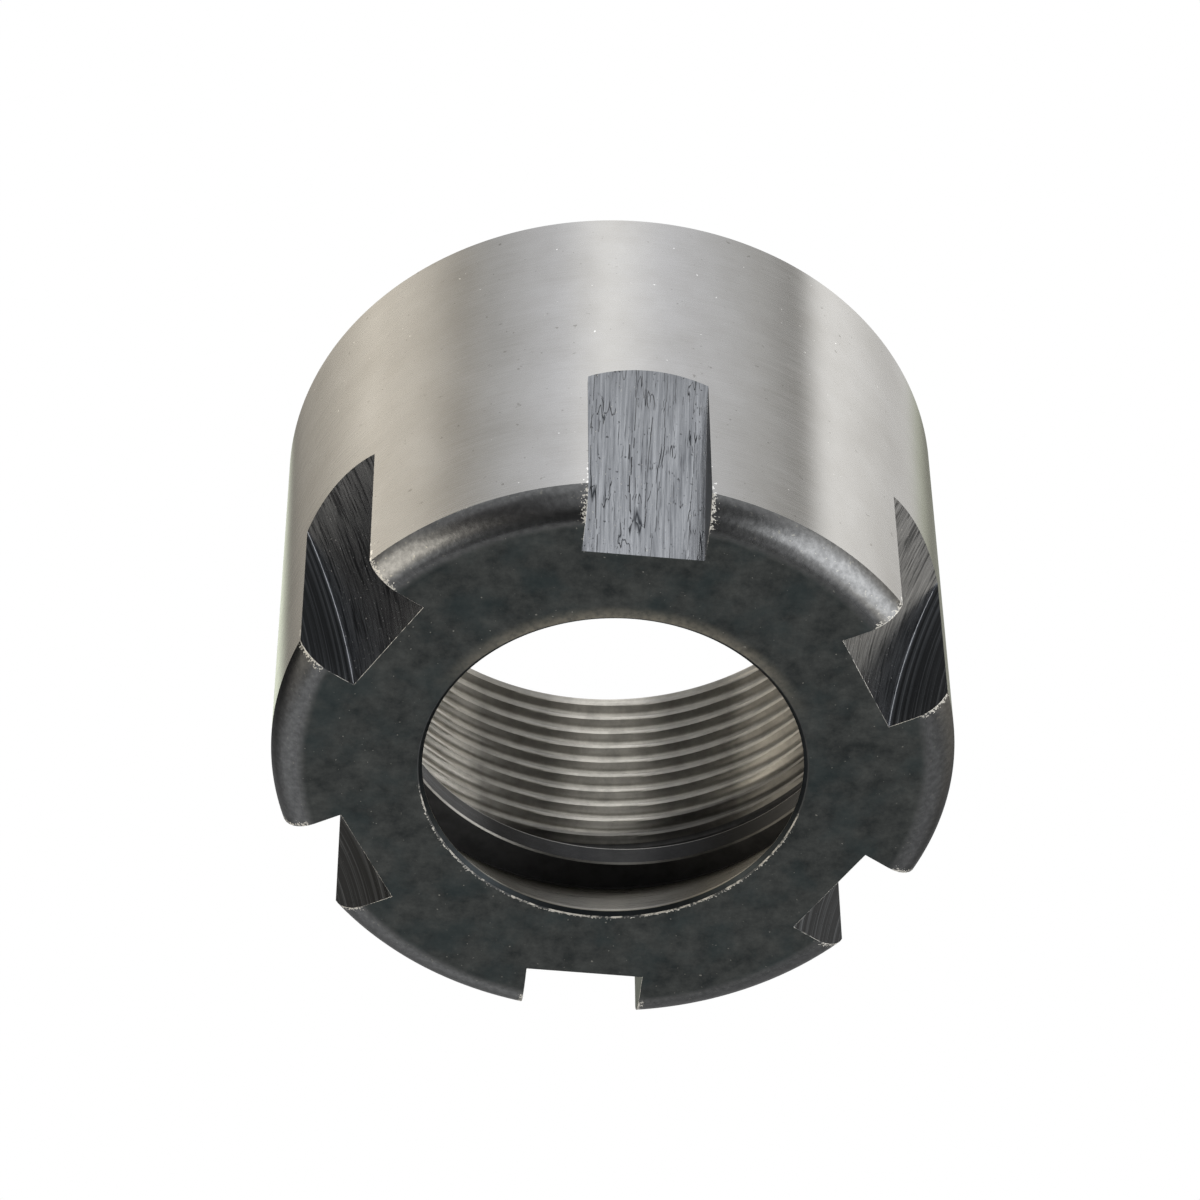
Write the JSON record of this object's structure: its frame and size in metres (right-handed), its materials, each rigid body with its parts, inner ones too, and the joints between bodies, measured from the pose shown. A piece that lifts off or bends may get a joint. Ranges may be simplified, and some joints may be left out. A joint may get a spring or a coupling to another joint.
{
  "type": "collet nut",
  "caption": "Small round collet clamping nut with a castellated rim: fine internal thread, tapered seat, off-centre extractor lip and milled wrench slots in the rounded front end.",
  "frame": {"origin": "centre of the thread end's flat face, on the axis of the nut", "axes": "+Z along the axis, from the thread end up to the slotted face, and one wrench slot faces -Y"},
  "size_m": [0.028, 0.028, 0.0195],
  "materials": {
    "steel": "ground bare steel outside, black oxide on the slotted end and in the slots, plain turned steel in the bore"
  },
  "bodies": {
    "root": {"collet_nut": "steel"}
  },
  "joints": []
}
